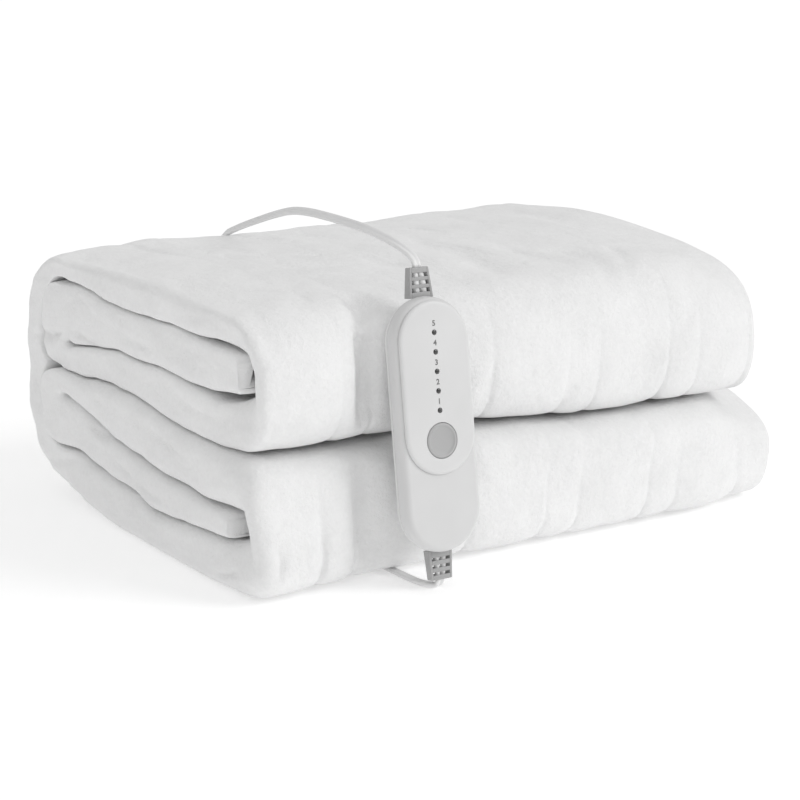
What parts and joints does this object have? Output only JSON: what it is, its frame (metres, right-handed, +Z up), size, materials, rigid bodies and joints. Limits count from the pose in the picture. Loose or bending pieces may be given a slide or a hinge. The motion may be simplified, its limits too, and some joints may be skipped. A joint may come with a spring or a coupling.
{
  "type": "folded heated mattress pad",
  "caption": "Heated mattress pad folded into a low layered stack, with a wired hand controller leaning on its front face and its flat mains lead running over the top to a coil and plug behind.",
  "frame": {"origin": "on the surface that the stack rests on, under the middle of the folded pad and its controller together", "axes": "+X along the long front of the stack, from the closed fold at its left to the open hems at its right; +Y to the back; +Z up; the controller leans on the -Y face"},
  "size_m": [0.39, 0.4605, 0.1959],
  "materials": {
    "cloth": "short white plush fleece, matte, with a soft nap",
    "controller_body": "smooth off-white plastic, satin",
    "controller_panel": "smooth off-white plastic, satin",
    "button": "mid grey, satin, shallow dish",
    "relief": "grey flexible plastic, satin",
    "lamp": "small dark lens, glossy",
    "lead": "white flexible lead covering, satin",
    "plug": "moulded white plastic, satin",
    "pin": "bright plated metal"
  },
  "bodies": {
    "stack": {"pad": "cloth", "controller_body": "controller_body", "controller_panel": "controller_panel", "lamp_1": "lamp", "lamp_2": "lamp", "lamp_3": "lamp", "lamp_4": "lamp", "lamp_5": "lamp", "relief_top": "relief", "relief_bottom": "relief", "mains_lead": "lead", "pad_lead": "lead", "mains_coil": "lead", "plug_body": "plug", "plug_pin_1": "pin", "plug_pin_2": "pin"},
    "push_button": {"button": "button"}
  },
  "joints": [
    {"name": "button_press", "type": "slide", "parent": "stack", "child": "push_button", "axis": [0, 0.9888, -0.1495], "range_m": [0, 0.0008], "stiffness_N_per_m": 400}
  ]
}
